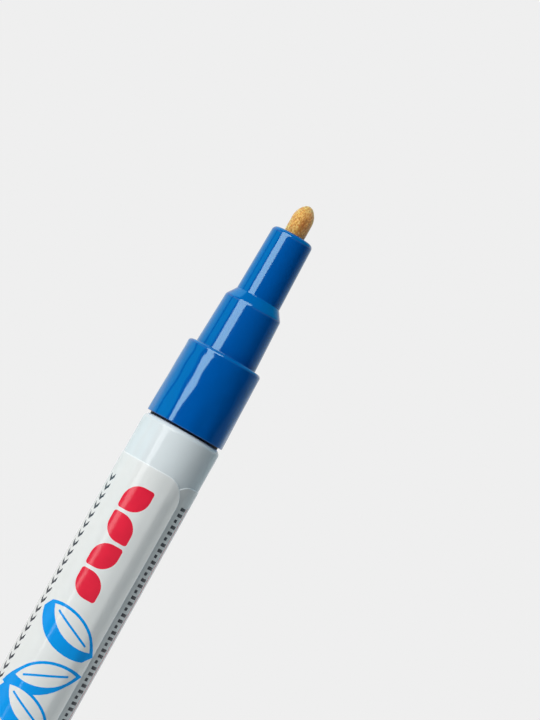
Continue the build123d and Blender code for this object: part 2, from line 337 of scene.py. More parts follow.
def new_piece(name, vertices, faces, sharp_angle=SHARP_ANGLE):
    """A smooth-shaded piece, with sharp edges where its faces meet at more than the angle."""
    piece = mesh_object(name, vertices, faces)
    piece.data.shade_smooth()
    if sharp_angle:
        piece.data.set_sharp_from_angle(angle=math.radians(sharp_angle))
    return piece


def lathe(name, outline, closed, steps=TURN_STEPS, relief=None):
    """A piece turned about Z from an outline of (radius, height).

    relief(radius, height, angles) says how far each point of a ring is moved outwards.
    """
    angles = np.arange(steps) * 2 * math.pi / steps
    vertices, rings = [], []
    for radius, height in outline:
        if radius < ON_AXIS:
            rings.append([len(vertices)])
            vertices.append((0.0, 0.0, height))
            continue
        radii = np.full(steps, radius)
        if relief:
            radii = radii + relief(radius, height, angles)
        rings.append(list(range(len(vertices), len(vertices) + steps)))
        vertices += list(zip(radii * np.sin(angles), -radii * np.cos(angles), [height] * steps))
    faces = []
    following = rings[1:] + rings[:1] if closed else rings[1:]
    for low, high in zip(rings, following):
        for step in range(steps):
            after = (step + 1) % steps
            places = ((low, step), (low, after), (high, after), (high, step))
            corners = [ring[place % len(ring)] for ring, place in places]
            faces.append(list(dict.fromkeys(corners)))
    return new_piece(name, vertices, faces)


def dress(piece, body, node, slot, *materials):
    """Puts a new piece on its body in place of a solid, with its finish."""
    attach(piece, body)
    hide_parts(node)
    for material in materials:
        piece.data.materials.append(material)


# Node helpers
def add(tree, kind, inputs=None, **settings):
    """A node; its inputs are plain values or sockets to link from."""
    node = tree.nodes.new(kind)
    for name, value in settings.items():
        setattr(node, name, value)
    for name, value in (inputs or {}).items():
        if isinstance(value, bpy.types.NodeSocket):
            tree.links.new(value, node.inputs[name])
        else:
            node.inputs[name].default_value = value
    return node


def empty_tree(owner):
    """The node tree of a material or of the world, with nothing in it."""
    owner.use_nodes = True
    owner.node_tree.nodes.clear()
    return owner.node_tree


def maths(tree, operation, *values):
    """What a Math node makes of sockets and plain values."""
    return add(tree, "ShaderNodeMath", dict(enumerate(values)), operation=operation).outputs[0]


def stretched(tree, value, low, high, first=0.0, last=1.0, shape="LINEAR"):
    """A value that goes from low to high, stretched to go from first to last, and held at both ends."""
    inputs = {"Value": value, "From Min": low, "From Max": high, "To Min": first, "To Max": last}
    return add(tree, "ShaderNodeMapRange", inputs, interpolation_type=shape).outputs["Result"]


def new_material(name, **sockets):
    """A material, its tree and its shader, with the shader's constant sockets set."""
    material = bpy.data.materials.new(name)
    material.use_nodes = True
    tree = material.node_tree
    shader = tree.nodes["Principled BSDF"]
    for socket, value in sockets.items():
        shader.inputs[socket.replace("_", " ")].default_value = value
    return material, tree, shader


def grain(tree, size, detail, stretch=(1, 1, 1)):
    """Noise whose spots are about this many millimetres wide, stretched along the axes."""
    place = add(tree, "ShaderNodeTexCoord").outputs["Object"]
    scale = [1 / (MM * size * part) for part in stretch]
    mapped = add(tree, "ShaderNodeMapping", {"Vector": place, "Scale": scale}).outputs["Vector"]
    inputs = {"Vector": mapped, "Scale": 1.0, "Detail": detail}
    return add(tree, "ShaderNodeTexNoise", inputs).outputs["Fac"]


def ramp(tree, factor, *stops):
    """Colours along a factor; each stop is (place, colour)."""
    node = add(tree, "ShaderNodeValToRGB", {"Fac": factor})
    elements = node.color_ramp.elements
    while len(elements) < len(stops):
        elements.new(1.0)
    for element, (place, colour) in zip(elements, stops):
        element.position = place
        element.color = (*colour, 1.0)
    return node.outputs["Color"]


def between(tree, factor, low, high):
    """A number that follows the noise between two values."""
    return stretched(tree, factor, NOISE_LOW, NOISE_HIGH, low, high)


def blend(tree, factor, first, second):
    """A mix of two colours, each a socket or a plain colour."""
    inputs = {MIX_FACTOR: factor, MIX_FIRST: first, MIX_SECOND: second}
    return add(tree, "ShaderNodeMix", inputs, data_type="RGBA").outputs[MIX_RESULT]


def relief_normal(tree, height, depth):
    """Bump of this depth in millimetres."""
    inputs = {"Height": height, "Distance": depth * MM, "Strength": 1.0}
    return add(tree, "ShaderNodeBump", inputs).outputs["Normal"]


def tinted(colour, share):
    """A darker or lighter colour, at most white."""
    return tuple(min(1.0, part * share) for part in colour)


def surface(name, colour, vary, spot, roughness, peel, peel_size, stretch=(1, 1, 1), **sockets):
    """A moulded, painted or printed surface: clouded colour, uneven gloss and a fine skin.

    Its clouds are as wide as the spot and vary the colour by a share, and its gloss is finer. The bumps of
    its skin are as high as the peel.
    """
    material, tree, shader = new_material(name, **sockets)
    clouds = grain(tree, spot, detail=4.0, stretch=stretch)
    stops = ((NOISE_LOW, tinted(colour, 1 - vary)), (NOISE_HIGH, tinted(colour, 1 + vary)))
    tree.links.new(ramp(tree, clouds, *stops), shader.inputs["Base Color"])
    gloss = grain(tree, spot / GLOSS_FINENESS, detail=3.0, stretch=stretch)
    tree.links.new(between(tree, gloss, *roughness), shader.inputs["Roughness"])
    skin = grain(tree, peel_size, detail=2.0)
    tree.links.new(relief_normal(tree, skin, peel), shader.inputs["Normal"])
    return material


# Materials
HOLDER_BLUE = (0.0, 0.098, 0.405)
HOLDER_GLOSS_TINT = (0.6, 0.95, 1.0, 1.0)
INK_SKIN = {"peel": 0.0007, "peel_size": 0.4, "Specular_IOR_Level": 0.3}
blue_plastic = surface(
    "blue_plastic", HOLDER_BLUE, vary=0.03, spot=5.0, roughness=(0.07, 0.1), peel=0.0004, peel_size=1.6,
    stretch=(1, 1, 3), IOR=1.5, Specular_IOR_Level=0.86, Specular_Tint=HOLDER_GLOSS_TINT,
)
blue_step = surface(
    "blue_step", HOLDER_BLUE, vary=0.03, spot=3.0, roughness=(0.38, 0.46), peel=0.001, peel_size=0.6,
    IOR=1.5, Specular_IOR_Level=0.5, Specular_Tint=HOLDER_GLOSS_TINT,
)
white_lacquer = surface(
    "white_lacquer", (0.706, 0.764, 0.776), vary=0.012, spot=4.0, roughness=(0.06, 0.09),
    peel=0.0003, peel_size=1.2, Specular_IOR_Level=0.3,
)
film = surface(
    "label_film", (0.765, 0.784, 0.764), vary=0.012, spot=6.0, roughness=(0.09, 0.13),
    peel=0.0004, peel_size=0.8, Specular_IOR_Level=0.24,
)
# A lighter colour round the film's edge: a painted highlight where its cut edge catches light
film_edge_highlight = surface(
    "label_edge_highlight", (0.88, 0.91, 0.91), vary=0.01, spot=6.0, roughness=(0.12, 0.18),
    peel=0.0005, peel_size=0.5, Specular_IOR_Level=0.3,
)
red_ink = surface("red_ink", (0.78, 0.02, 0.052), vary=0.04, spot=2.0, roughness=(0.1, 0.15), **INK_SKIN)
blue_ink = surface("blue_ink", (0.0, 0.31, 0.81), vary=0.03, spot=2.0, roughness=(0.1, 0.15), **INK_SKIN)
dark_ink = surface(
    "dark_ink", (0.02, 0.025, 0.037), vary=0.15, spot=1.0, roughness=(0.12, 0.2), **INK_SKIN
)
black_rubber = surface(
    "black_rubber", (0.006, 0.009, 0.018), vary=0.3, spot=0.6, roughness=(0.5, 0.65),
    peel=0.004, peel_size=0.12, Specular_IOR_Level=0.15,
)
natural_plastic = surface(
    "natural_plastic", (0.78, 0.78, 0.73), vary=0.02, spot=3.0, roughness=(0.3, 0.42),
    peel=0.002, peel_size=0.4,
)
spring_steel = surface(
    "spring_steel", (0.62, 0.62, 0.64), vary=0.08, spot=0.5, roughness=(0.16, 0.3),
    peel=0.001, peel_size=0.15, Metallic=1.0,
)

# Bonded fibre: its colours from pale to dark, how much the painted shade in its pits and its streaks
# darken it, and its skin
FIBRE_COLOURS = ((0.5, (0.88, 0.68, 0.3)), (0.75, (0.8, 0.53, 0.165)), (1.0, (0.56, 0.26, 0.055)))
PIT_SHADE_SHARE = 0.3
STREAK_SHARE = 0.45
STREAK_DEPTH = 0.012
FIBRE_ROUGHNESS = (0.75, 0.95)


def nib_material():
    """Bonded fibre: pale and mottled, with shade painted darker into its pits and fibre grooves, streaks
    along the axis and one brown patch.
    """
    material, tree, shader = new_material(
        "nib_fibre", Specular_IOR_Level=0.25, Sheen_Weight=0.45, Subsurface_Weight=0.9,
        Subsurface_Radius=NIB_SCATTER, Subsurface_Scale=MM,
    )
    # Painted shade, darker where the pits and fibre grooves draw the nib in
    pit_shade = add(tree, "ShaderNodeAttribute", attribute_name="pit").outputs["Fac"]
    mottle = grain(tree, size=0.22, detail=4.0, stretch=(1, 1, 1.6))
    streaks = grain(tree, size=0.12, detail=3.0, stretch=(1, 1, 5))
    tone = maths(tree, "MULTIPLY_ADD", pit_shade, PIT_SHADE_SHARE, mottle)
    tone = maths(tree, "MULTIPLY_ADD", streaks, STREAK_SHARE, tone)
    fibre = ramp(tree, tone, *FIBRE_COLOURS)
    place = add(tree, "ShaderNodeTexCoord").outputs["Object"]
    from_stain = [-part / size for part, size in zip(STAIN_POINT, STAIN_SIZE)]
    scale = [1 / (size * MM) for size in STAIN_SIZE]
    inputs = {"Vector": place, "Location": from_stain, "Scale": scale}
    mapped = add(tree, "ShaderNodeMapping", inputs).outputs["Vector"]
    reach = add(tree, "ShaderNodeVectorMath", {0: mapped}, operation="LENGTH").outputs["Value"]
    near = stretched(tree, reach, 0.0, 1.0, STAIN_STRENGTH, 0.0)
    patches = grain(tree, size=0.26, detail=4.0, stretch=(1, 1, 2.5))
    stain = maths(tree, "MULTIPLY", near, between(tree, patches, *STAIN_PATCHES))
    tree.links.new(blend(tree, stain, fibre, STAIN_COLOUR), shader.inputs["Base Color"])
    tree.links.new(between(tree, streaks, *FIBRE_ROUGHNESS), shader.inputs["Roughness"])
    tree.links.new(relief_normal(tree, streaks, STREAK_DEPTH), shader.inputs["Normal"])
    return material


# Barrel
barrel_outline = rounded(
    (
        (0, TAIL_RECESS_DEPTH, 0),
        (TAIL_RECESS_RADIUS, TAIL_RECESS_DEPTH, TAIL_RECESS_ROUNDING),
        (TAIL_RECESS_RADIUS + TAIL_RECESS_DEPTH, 0, TAIL_RECESS_ROUNDING),
        (BARREL_RADIUS, 0, TAIL_ROUNDING),
        (BARREL_RADIUS, SHOULDER_Z, SHOULDER_ROUNDING),
        (NECK_RADIUS, SHOULDER_Z, INNER_CORNER_ROUNDING),
        (NECK_RADIUS, BEAD_LOW_Z, 0),
        (NECK_RADIUS + BEAD_HEIGHT, BEAD_LOW_Z + BEAD_HEIGHT, INNER_CORNER_ROUNDING),
        (NECK_RADIUS + BEAD_HEIGHT, BEAD_HIGH_Z - BEAD_HEIGHT, INNER_CORNER_ROUNDING),
        (NECK_RADIUS, BEAD_HIGH_Z, 0),
        (NECK_RADIUS, NECK_TOP_Z, INNER_CORNER_ROUNDING),
        (NECK_RADIUS - BARREL_WALL, NECK_TOP_Z, INNER_CORNER_ROUNDING),
        (NECK_RADIUS - BARREL_WALL, SHOULDER_Z - BARREL_WALL, 0),
        (BARREL_RADIUS - BARREL_WALL, SHOULDER_Z - BARREL_WALL, SHOULDER_ROUNDING - BARREL_WALL),
        (BARREL_RADIUS - BARREL_WALL, BASE_THICKNESS, TAIL_ROUNDING - BARREL_WALL),
        (0, BASE_THICKNESS, 0),
    )
)
barrel_can = lathe("barrel_can", spaced(barrel_outline, RING_SPACING, False), closed=False)
dress(barrel_can, "marker", "barrel", "white_lacquer", white_lacquer)


# Front holder
def sink_marks(radius, height, angles):
    """How the cooling plastic draws in over the ribs, on the outside only."""
    depth = sum(
        mark * math.exp(-(((height - centre) / reach) ** 2)) for centre, reach, mark in SINKS
    )
    outside = radius > SKIRT_BORE_RADIUS if height < COLLAR_TOP_Z else radius > NOZZLE_BORE_RADIUS
    return outside * depth * -np.cos(SINK_COUNT * (angles - math.radians(SINK_ANGLE)))


holder_outside = (
    (COLLAR_BASE_RADIUS, COLLAR_BASE_Z, COLLAR_BASE_ROUNDING),
    (COLLAR_TOP_RADIUS, COLLAR_TOP_Z, COLLAR_TOP_ROUNDING),
    (BODY_BASE_RADIUS, COLLAR_TOP_Z, INNER_CORNER_ROUNDING),
    (BODY_TOP_RADIUS, BODY_TOP_Z, SLOPE_ROUNDING),
    (NOZZLE_BASE_RADIUS, NOZZLE_BASE_Z, INNER_CORNER_ROUNDING),
    (NOZZLE_TOP_RADIUS, NOZZLE_TOP_Z, NOZZLE_ROUNDING),
    (NIB_HOLE_RADIUS, NOZZLE_TOP_Z, NIB_HOLE_ROUNDING),
)
holder_inside = (
    (NIB_HOLE_RADIUS, MOUTH_Z, 0),
    (NOZZLE_BORE_RADIUS, MOUTH_Z, 0),
    (NOZZLE_BORE_RADIUS, CHAMBER_TOP_Z, 0),
    (CHAMBER_RADIUS, CHAMBER_TOP_Z, 0),
    (CHAMBER_RADIUS, FLANGE_TOP_Z, 0),
    (SKIRT_BORE_RADIUS, FLANGE_TOP_Z, 0),
    (SKIRT_BORE_RADIUS, BEAD_HIGH_Z, 0),
    (SKIRT_BORE_RADIUS + BEAD_HEIGHT, BEAD_HIGH_Z - BEAD_HEIGHT, 0),
    (SKIRT_BORE_RADIUS + BEAD_HEIGHT, BEAD_LOW_Z + BEAD_HEIGHT, 0),
    (SKIRT_BORE_RADIUS, BEAD_LOW_Z, 0),
    (SKIRT_BORE_RADIUS, COLLAR_BASE_Z, 0),
)
holder_outline = rounded(holder_outside + holder_inside)
outside_points = holder_outline[: -len(holder_inside)]
holder_outline[: -len(holder_inside)] = spaced(outside_points, FRONT_RING_SPACING, False)
holder_shell = lathe("holder_shell", holder_outline, True, relief=sink_marks)
flat_faces = [int(polygon.normal.z > STEP_FACE_RISE) for polygon in holder_shell.data.polygons]
holder_shell.data.polygons.foreach_set("material_index", flat_faces)
dress(holder_shell, "marker", "front_holder", "blue_plastic", blue_plastic, blue_step)


# Nib
def nib_outline():
    """Fibre rod with a bullet nose: the flank's arc runs smoothly into the tip's arc."""
    flank_offset = NIB_FLANK_RADIUS - NIB_RADIUS
    tip_rise = math.sqrt((NIB_FLANK_RADIUS - NIB_TIP_RADIUS) ** 2 - flank_offset**2)
    nose_z = NIB_TIP_Z - NIB_TIP_RADIUS - tip_rise
    flank_end = math.atan2(tip_rise, flank_offset)
    points = [
        Vector((0, NIB_REAR_Z)),
        Vector((NIB_RADIUS - NIB_REAR_CHAMFER, NIB_REAR_Z)),
        Vector((NIB_RADIUS, NIB_REAR_Z + NIB_REAR_CHAMFER)),
    ]
    flank_steps = math.ceil(flank_end * NIB_FLANK_RADIUS / NIB_SPACING)
    for step in range(flank_steps + 1):
        turn = flank_end * step / flank_steps
        arm = Vector((math.cos(turn), math.sin(turn))) * NIB_FLANK_RADIUS
        points.append(Vector((-flank_offset, nose_z)) + arm)
    tip_steps = math.ceil((math.pi / 2 - flank_end) * NIB_TIP_RADIUS / NIB_SPACING)
    for step in range(1, tip_steps):
        turn = flank_end + (math.pi / 2 - flank_end) * step / tip_steps
        arm = Vector((math.cos(turn), math.sin(turn))) * NIB_TIP_RADIUS
        points.append(Vector((0, nose_z + tip_rise)) + arm)
    points.append(Vector((0, NIB_TIP_Z)))
    return points


def nib_noise(place, across, along, shift):
    """Noise at a point of the nib, drawn out along its axis."""
    return noise.noise(Vector((place.x * across, place.y * across, place.z * along + shift)))


def roughen(piece):
    """Draws the nib in at its pits and between its fibres, and keeps how much shade is painted on each
    point, more where it is drawn in.
    """
    painted_shade = np.zeros(len(piece.data.vertices), np.float32)
    for vertex in piece.data.vertices:
        place = vertex.co / MM
        pit = max(0.0, *(nib_noise(place, *waves) for waves in PIT_WAVES))
        fibre = 0.5 + 0.5 * nib_noise(place, *FIBRE_WAVES)
        draw = PIT_DEPTH * pit + FIBRE_DEPTH * fibre
        out = Vector((place.x, place.y, max(0.0, place.z - NIB_TIP_Z + 2 * NIB_TIP_RADIUS) * TIP_LEAN))
        if out.length > 0:
            vertex.co = (place - out.normalized() * draw) * MM
        # Painted shade: darker where the pits and fibre grooves draw the nib in
        painted_shade[vertex.index] = min(1.0, PIT_SHADE * pit + FIBRE_SHADE * fibre + TONE_OFFSET)
    piece.data.attributes.new("pit", "FLOAT", "POINT").data.foreach_set("value", painted_shade)


nib_fibre = lathe("nib_fibre", spaced(nib_outline(), NIB_SPACING, False), False, NIB_TURN_STEPS)
roughen(nib_fibre)
dress(nib_fibre, "nib", "nib", "nib_fibre", nib_material())


# Valve spring
def coil_mesh():
    """One wire wound round the axis, with closed ends."""
    count = SPRING_TURNS * SPRING_TURN_STEPS
    climb = (SPRING_HIGH_Z - SPRING_LOW_Z) / (SPRING_TURNS * 2 * math.pi)
    vertices, faces = [], []
    for step in range(count + 1):
        turn = 2 * math.pi * step / SPRING_TURN_STEPS
        out = Vector((math.cos(turn), math.sin(turn), 0))
        along = Vector((-SPRING_RADIUS * math.sin(turn), SPRING_RADIUS * math.cos(turn), climb))
        above = out.cross(along.normalized())
        centre = out * SPRING_RADIUS + Vector((0, 0, SPRING_LOW_Z + climb * turn))
        for corner in range(SPRING_WIRE_STEPS):
            angle = 2 * math.pi * corner / SPRING_WIRE_STEPS
            arm = out * math.cos(angle) + above * math.sin(angle)
            vertices.append(centre + SPRING_WIRE_RADIUS * arm)
    for step in range(count):
        low, high = step * SPRING_WIRE_STEPS, (step + 1) * SPRING_WIRE_STEPS
        for corner in range(SPRING_WIRE_STEPS):
            after = (corner + 1) % SPRING_WIRE_STEPS
            faces.append((low + corner, high + corner, high + after, low + after))
    faces.append(list(range(SPRING_WIRE_STEPS)))
    faces.append(list(range(len(vertices) - 1, len(vertices) - 1 - SPRING_WIRE_STEPS, -1)))
    return new_piece("valve_coil", vertices, faces)


valve_coil = coil_mesh()
dress(valve_coil, "marker", "valve_spring", "spring_steel", spring_steel)
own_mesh(valve_coil)

# Label: the flat sheet is drawn in (run, height), the run measured from its start at the seam
film_radius = BARREL_RADIUS + FILM_THICKNESS / 2
full_turn = 2 * math.pi * film_radius
sheet_length = full_turn + FILM_OVERLAP
start_angle = math.radians(FILM_SEAM_ANGLE) - FILM_OVERLAP / 2 / film_radius
front_run = film_radius * (2 * math.pi - start_angle)


def capsule(start, end, radius):
    """A rounded bar between two points."""
    along = (end - start).normalized()
    side = Vector((-along.y, along.x))
    steps = math.ceil(180 / ARC_STEP)
    points = []
    for base, sense in ((end, 1), (start, -1)):
        for step in range(steps + 1):
            turn = math.pi * step / steps
            points.append(base - sense * radius * (side * math.cos(turn) - along * math.sin(turn)))
    return points


def leaf(middle, half, bulge):
    """A pointed leaf from its middle to its tips, with two even arcs for sides."""
    side = Vector((-half.y, half.x)).normalized()
    reach = half.length
    radius = (reach**2 + bulge**2) / (2 * bulge)
    swing = math.asin(reach / radius)
    steps = math.ceil(2 * math.degrees(swing) / ARC_STEP)
    points = []
    for sense in (1, -1):
        for step in range(steps):
            turn = sense * swing * (1 - 2 * step / steps)
            along = half.normalized() * radius * math.sin(turn)
            points.append(middle + along + side * sense * (bulge - radius + radius * math.cos(turn)))
    return points


def hull(points):
    """The outline of a band stretched round the points."""
    return [points[index] for index in convex_hull_2d(points)]


def box_corners(run, height, width, tall):
    """The corners of an upright box round its middle, from the lower left."""
    left, right = run - width / 2, run + width / 2
    low, high = height - tall / 2, height + tall / 2
    return (left, low), (right, low), (right, high), (left, high)


def tile(run, height, width, tall, round_share, flip):
    """A tile with two opposite corners rounded off."""
    big = round_share * min(width, tall)
    small = big / TILE_ROUND_RATIO
    roundings = (big, small, big, small) if flip else (small, big, small, big)
    corners = box_corners(run, height, width, tall)
    return rounded([(*corner, rounding) for corner, rounding in zip(corners, roundings)])


def bar(run, height, width, tall):
    """A small bar, its corners just rounded, from its middle and size."""
    rounding = min(width, tall) / BAR_ROUND_RATIO
    return rounded([(*corner, rounding) for corner in box_corners(run, height, width, tall)])


def chevron(run, height, width, tall, stroke):
    """An arrowhead that points down the barrel."""
    (left, low), _, (right, high), _ = box_corners(run, height, width, tall)
    corners = (
        (left, high), (left, high - stroke), (run, low),
        (right, high - stroke), (right, high), (run, low + stroke),
    )
    return [Vector(corner) for corner in corners]


# The print, each shape over the ones before it, as (index of its ink, outline)
# Inks by index; the second is the painted highlight round the film's edge
FILM, EDGE_HIGHLIGHT, RED, BLUE, DARK = range(5)
print_shapes = []

# Red tiles at the front
TILE_RUN, TILE_SIZE, TILE_ROUND_SHARE, TILE_ROUND_RATIO = -1.3, (4.9, 4.9), 0.62, 6
TILE_TOP, TILE_PITCH, TILE_COUNT = 77.1, 5.55, 4
for order in range(TILE_COUNT):
    height = TILE_TOP - order * TILE_PITCH
    shape = tile(front_run + TILE_RUN, height, *TILE_SIZE, TILE_ROUND_SHARE, order % 2)
    print_shapes.append((RED, shape))

# White leaves with a blue edge, vein and side, which lean to and fro across the front
LEAF_EDGE = 0.5
LEAF_BULGE = 2.0
LEAF_SIDE = Vector((-1.3, -1.6))
LEAF_HALVES = (Vector((4.9, -2.3)), Vector((4.9, 2.3)))
LEAF_VEIN, LEAF_VEIN_SHARE = 0.2, 0.7
LEAF_TOP, LEAF_PITCHES, LEAF_COUNT = 52.6, (9.2, 6.6), 6
height = LEAF_TOP
for order in range(LEAF_COUNT):
    middle = Vector((front_run, height))
    half = LEAF_HALVES[order % 2]
    edge = leaf(middle, half * (1 + 2 * LEAF_EDGE / half.length), LEAF_BULGE + LEAF_EDGE)
    print_shapes.append((BLUE, hull(edge + [point + LEAF_SIDE for point in edge])))
    print_shapes.append((FILM, leaf(middle, half, LEAF_BULGE)))
    vein = half * LEAF_VEIN_SHARE
    print_shapes.append((BLUE, capsule(middle - vein, middle + vein, LEAF_VEIN)))
    height -= LEAF_PITCHES[order % 2]

# A column of arrowheads down the left side
ARROW_RUN, ARROW_SIZE, ARROW_STROKE = -8.55, (1.75, 1.7), 0.8
ARROW_TOP, ARROW_PITCH, ARROW_COUNT = 78.4, 1.85, 37
for order in range(ARROW_COUNT):
    height = ARROW_TOP - order * ARROW_PITCH
    print_shapes.append((DARK, chevron(front_run + ARROW_RUN, height, *ARROW_SIZE, ARROW_STROKE)))

# A ladder of short and long bars beside the seam
BAR_ROUND_RATIO = 5
LADDER_RUN, LADDER_PITCH, LADDER_LENGTHS, LADDER_WIDTH = 3.9, 1.15, (1.75, 1.75, 0.9), 0.62
LADDER_TOP, LADDER_COUNT = 79.4, 60
for order in range(LADDER_COUNT):
    length = LADDER_LENGTHS[order % len(LADDER_LENGTHS)]
    height = LADDER_TOP - order * LADDER_PITCH
    print_shapes.append((DARK, bar(LADDER_RUN + length / 2, height, length, LADDER_WIDTH)))

# A fine red rule
RULE_RUN, RULE_HEIGHT, RULE_SIZE = 6.3, 45.0, (0.25, 70.0)
print_shapes.append((RED, bar(RULE_RUN, RULE_HEIGHT, *RULE_SIZE)))

# Columns of dashes round the back: (run, lowest, highest, width, dash lengths)
DASH_GAP = 0.42
DASH_COLUMNS = (
    (11.0, 12.0, 78.0, 0.5, (3.2, 1.4, 2.2, 4.0)),
    (13.0, 12.0, 78.0, 0.5, (2.4, 4.1, 1.2, 3.0)),
    (15.0, 24.0, 78.0, 0.5, (4.4, 2.0, 3.4, 1.1)),
)
for run, low, high, width, lengths in DASH_COLUMNS:
    height, order = high, 0
    while height - lengths[order % len(lengths)] > low:
        tall = lengths[order % len(lengths)]
        print_shapes.append((DARK, bar(run, height - tall / 2, width, tall)))
        height -= tall + DASH_GAP
        order += 1

# A blue bar down the back
BACK_BAR_ENDS, BACK_BAR_RADIUS = (Vector((20.0, 14.0)), Vector((20.0, 76.0))), 1.6
print_shapes.append((BLUE, capsule(*BACK_BAR_ENDS, BACK_BAR_RADIUS)))


def sheet_outline(inset):
    """The sheet's edge, or a line that runs this far inside it."""
    rounding = FILM_CORNER_ROUNDING - inset
    low, high = FILM_LOW_Z + inset, FILM_HIGH_Z - inset
    corners = (
        (inset, low, rounding),
        (sheet_length - inset, low, rounding),
        (sheet_length - inset, high, rounding),
        (inset, high, rounding),
    )
    return spaced(rounded(corners), FILM_OUTLINE_STEP, True)


def edge_distance(run, height):
    """How far points lie inside the sheet's edge."""
    across = np.minimum(run, sheet_length - run)
    along = np.minimum(height - FILM_LOW_Z, FILM_HIGH_Z - height)
    corner = np.hypot(FILM_CORNER_ROUNDING - across, FILM_CORNER_ROUNDING - along)
    in_corner = (across < FILM_CORNER_ROUNDING) & (along < FILM_CORNER_ROUNDING)
    return np.where(in_corner, FILM_CORNER_ROUNDING - corner, np.minimum(across, along))


def inside(polygon, run, height):
    """Which points lie in a polygon."""
    found = np.zeros(len(run), bool)
    for start, end in zip(polygon, polygon[1:] + polygon[:1]):
        crosses = (start.y > height) != (end.y > height)
        with np.errstate(divide="ignore", invalid="ignore"):
            meets = start.x + (height - start.y) * (end.x - start.x) / (end.y - start.y)
        found ^= crosses & (run < meets)
    return found


def eased(value):
    """From 0 to 1, slow at both ends."""
    part = np.clip(value, 0, 1)
    return part * part * (3 - 2 * part)


def film_underside(run, height):
    """How far the film stands off the barrel: a ramp on to its own start, a bulge and a curled end."""
    ramp_up = FILM_THICKNESS * eased((run - full_turn + FILM_RAMP) / FILM_RAMP)
    back = sheet_length - run
    curl = CURL_HEIGHT * np.clip(1 - back / CURL_WIDTH, 0, 1) ** 2
    bulge_top = CURL_WIDTH + BULGE_WIDTH
    bulge = eased((back - CURL_WIDTH) / BULGE_WIDTH) * (1 - eased((back - bulge_top) / BULGE_TAIL))
    from_end = np.minimum(height - FILM_LOW_Z, FILM_HIGH_Z - height)
    loose = eased((from_end - SEAM_FLAT_END) / SEAM_FADE)
    return FILM_LIFT + ramp_up + curl + loose * BULGE_HEIGHT * bulge


def film_outside(run, height):
    """Height of the film's outer face, which rounds off at the edge and is never quite even."""
    share = np.clip(edge_distance(run, height) / FILM_EDGE_WIDTH, 0, 1)
    body = FILM_EDGE_SHARE + (1 - FILM_EDGE_SHARE) * np.sin(share * math.pi / 2)
    turn = np.sin(run * RIPPLE_TURN[0] + RIPPLE_TURN[1] * height)
    swell = np.sin(height * RIPPLE_SWELL[0] + RIPPLE_SWELL[1])
    thick = (FILM_THICKNESS - FILM_LIFT) * body - RIPPLE_DEPTH * (0.5 + 0.5 * turn * swell) * share
    return film_underside(run, height) + thick


def wrapped(run, height, rise):
    """Points of the flat sheet laid round the barrel."""
    angle = start_angle + run / film_radius
    radius = BARREL_RADIUS + rise
    return np.stack([radius * np.sin(angle), -radius * np.cos(angle), height], axis=1)


def flat_sheet():
    """The flat sheet cut along its print: points, triangles and each triangle's ink."""
    loops = [sheet_outline(inset) for inset in (0.0, FILM_EDGE_WIDTH / 2, FILM_EDGE_HIGHLIGHT_WIDTH)]
    loops += [spaced(polygon, FILM_GRID[0], True) for _, polygon in print_shapes]
    points, edges = [], []
    for loop in loops:
        first = len(points)
        points += loop
        edges += [(first + step, first + (step + 1) % len(loop)) for step in range(len(loop))]
    runs = np.arange(0, sheet_length, FILM_GRID[0])
    heights = np.arange(FILM_LOW_Z, FILM_HIGH_Z, FILM_GRID[1])
    grid_run, grid_height = (part.ravel() for part in np.meshgrid(runs, heights))
    keep = edge_distance(grid_run, grid_height) > FILM_EDGE_HIGHLIGHT_WIDTH + FILM_GRID[0] / 2
    points += [Vector(pair) for pair in zip(grid_run[keep], grid_height[keep])]
    flat, _, triangles, *_ = delaunay_2d_cdt(points, edges, [], 0, FILM_WELD)
    flat, triangles = np.array(flat), np.array(triangles)
    middle = flat[triangles].mean(axis=1)
    depth = edge_distance(middle[:, 0], middle[:, 1])
    triangles, middle, depth = triangles[depth > 0], middle[depth > 0], depth[depth > 0]
    # Triangles in the band round the edge take the painted edge highlight
    inks = np.where(depth < FILM_EDGE_HIGHLIGHT_WIDTH, EDGE_HIGHLIGHT, FILM)
    for ink, polygon in print_shapes:
        inks[inside(polygon, middle[:, 0], middle[:, 1])] = ink
    return flat, triangles, inks


def film_normals(run, height):
    """The normals of the film's outer face, and the directions straight out from the barrel."""
    step = FILM_SLOPE_STEP
    slope_run = (film_outside(run + step, height) - film_outside(run - step, height)) / (2 * step)
    slope_height = (film_outside(run, height + step) - film_outside(run, height - step)) / (2 * step)
    angle = start_angle + run / film_radius
    level = np.zeros(len(run))
    out = np.stack([np.sin(angle), -np.cos(angle), level], axis=1)
    round_way = np.stack([np.cos(angle), np.sin(angle), level], axis=1)
    normals = out - slope_run[:, None] * round_way
    normals[:, 2] -= slope_height
    return normals / np.linalg.norm(normals, axis=1)[:, None], out


